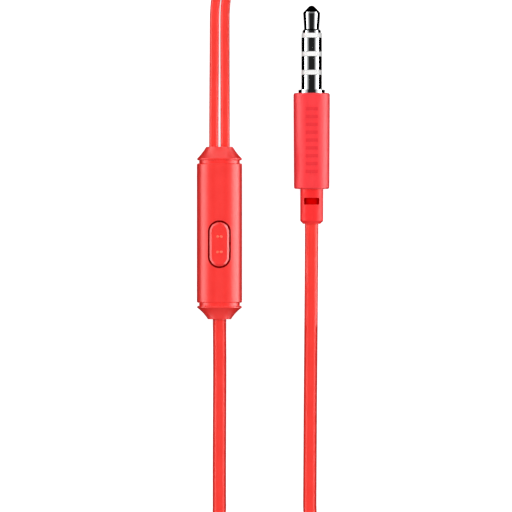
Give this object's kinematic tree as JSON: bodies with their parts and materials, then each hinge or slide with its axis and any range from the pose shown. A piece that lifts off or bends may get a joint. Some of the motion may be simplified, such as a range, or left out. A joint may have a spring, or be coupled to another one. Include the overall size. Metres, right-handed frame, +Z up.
{
  "type": "wired earphones",
  "caption": "Red wired in-ear earphones with an in-line remote, a slim four-contact 3.5 mm plug and tied hanks of put-away cord.",
  "frame": {"origin": "middle of the narrow flat strip under the in-line remote, on the surface it lies on", "axes": "+Y along the remote towards the earbuds, +X towards the plug, +Z up out of the surface"},
  "size_m": [0.0254, 0.2213, 0.0116],
  "materials": {
    "red_shell": "glossy moulded ABS, red through",
    "red_soft": "soft moulded TPE, satin, red through",
    "red_cord": "extruded TPE cord jacket, satin",
    "tie_rubber": "soft black strap",
    "board_green": "green solder mask on glass-fibre board",
    "black_plastic": "black moulded nylon",
    "steel": "plain stamped steel",
    "white_plastic": "white moulded nylon",
    "black_rubber": "soft black rubber",
    "copper": "enamelled copper wire",
    "chrome": "bright nickel plate",
    "ear_silicone": "soft translucent red silicone",
    "magnet": "nickel-plated magnet",
    "film": "thin clear polyester film"
  },
  "bodies": {
    "root": {"board_components": "black_plastic", "branch_cord_clamp": "black_plastic", "branch_cord_hank": "red_cord", "branch_cord_tie": "tie_rubber", "circuit_board": "board_green", "left_branch_far": "red_cord", "left_branch_near": "red_cord", "left_diaphragm": "film", "left_driver_frame": "black_plastic", "left_driver_yoke": "steel", "left_front_housing": "red_shell", "left_magnet": "magnet", "left_nozzle_mesh": "steel", "left_pole_plate": "steel", "left_rear_housing": "red_shell", "left_strain_relief": "red_soft", "main_cord_clamp": "black_plastic", "main_cord_hank": "red_cord", "main_cord_plug_side": "red_cord", "main_cord_remote_side": "red_cord", "main_cord_tie": "tie_rubber", "microphone_can": "steel", "microphone_gasket": "black_rubber", "plug_barrel": "red_shell", "plug_inner_mould": "white_plastic", "plug_insulator_1": "white_plastic", "plug_insulator_2": "white_plastic", "plug_insulator_3": "white_plastic", "plug_ring_1_contact": "chrome", "plug_ring_2_contact": "chrome", "plug_sleeve_contact": "chrome", "plug_strain_relief": "red_soft", "plug_tip_contact": "chrome", "plug_wires": "copper", "remote_back_shell": "red_shell", "remote_bottom_cap": "red_shell", "remote_front_shell": "red_shell", "remote_top_cap": "red_shell", "remote_wires": "copper", "right_branch_far": "red_cord", "right_branch_near": "red_cord", "right_diaphragm": "film", "right_driver_frame": "black_plastic", "right_driver_yoke": "steel", "right_front_housing": "red_shell", "right_magnet": "magnet", "right_nozzle_mesh": "steel", "right_pole_plate": "steel", "right_rear_housing": "red_shell", "right_strain_relief": "red_soft", "switch_base": "black_plastic", "switch_cover": "steel", "switch_dome": "steel"},
    "button": {"button_cap": "red_shell", "switch_plunger": "white_plastic"},
    "left_tip": {"left_ear_tip": "ear_silicone"},
    "right_tip": {"right_ear_tip": "ear_silicone"},
    "left_coil": {"left_voice_coil": "copper"},
    "right_coil": {"right_voice_coil": "copper"}
  },
  "joints": [
    {"name": "button_press", "type": "slide", "parent": "root", "child": "button", "axis": [0, 0, -1], "range_m": [0, 0.0003], "stiffness_N_per_m": 2000, "deforming": ["switch_dome"]},
    {"name": "left_tip_pull_off", "type": "slide", "parent": "root", "child": "left_tip", "axis": [0, 1, 0], "range_m": [0, 0.006]},
    {"name": "left_voice_coil_travel", "type": "slide", "parent": "root", "child": "left_coil", "axis": [0, 1, 0], "range_m": [-0.00015, 0.00015], "stiffness_N_per_m": 600, "deforming": ["left_diaphragm"]},
    {"name": "right_tip_pull_off", "type": "slide", "parent": "root", "child": "right_tip", "axis": [0, 1, 0], "range_m": [0, 0.006]},
    {"name": "right_voice_coil_travel", "type": "slide", "parent": "root", "child": "right_coil", "axis": [0, 1, 0], "range_m": [-0.00015, 0.00015], "stiffness_N_per_m": 600, "deforming": ["right_diaphragm"]}
  ]
}
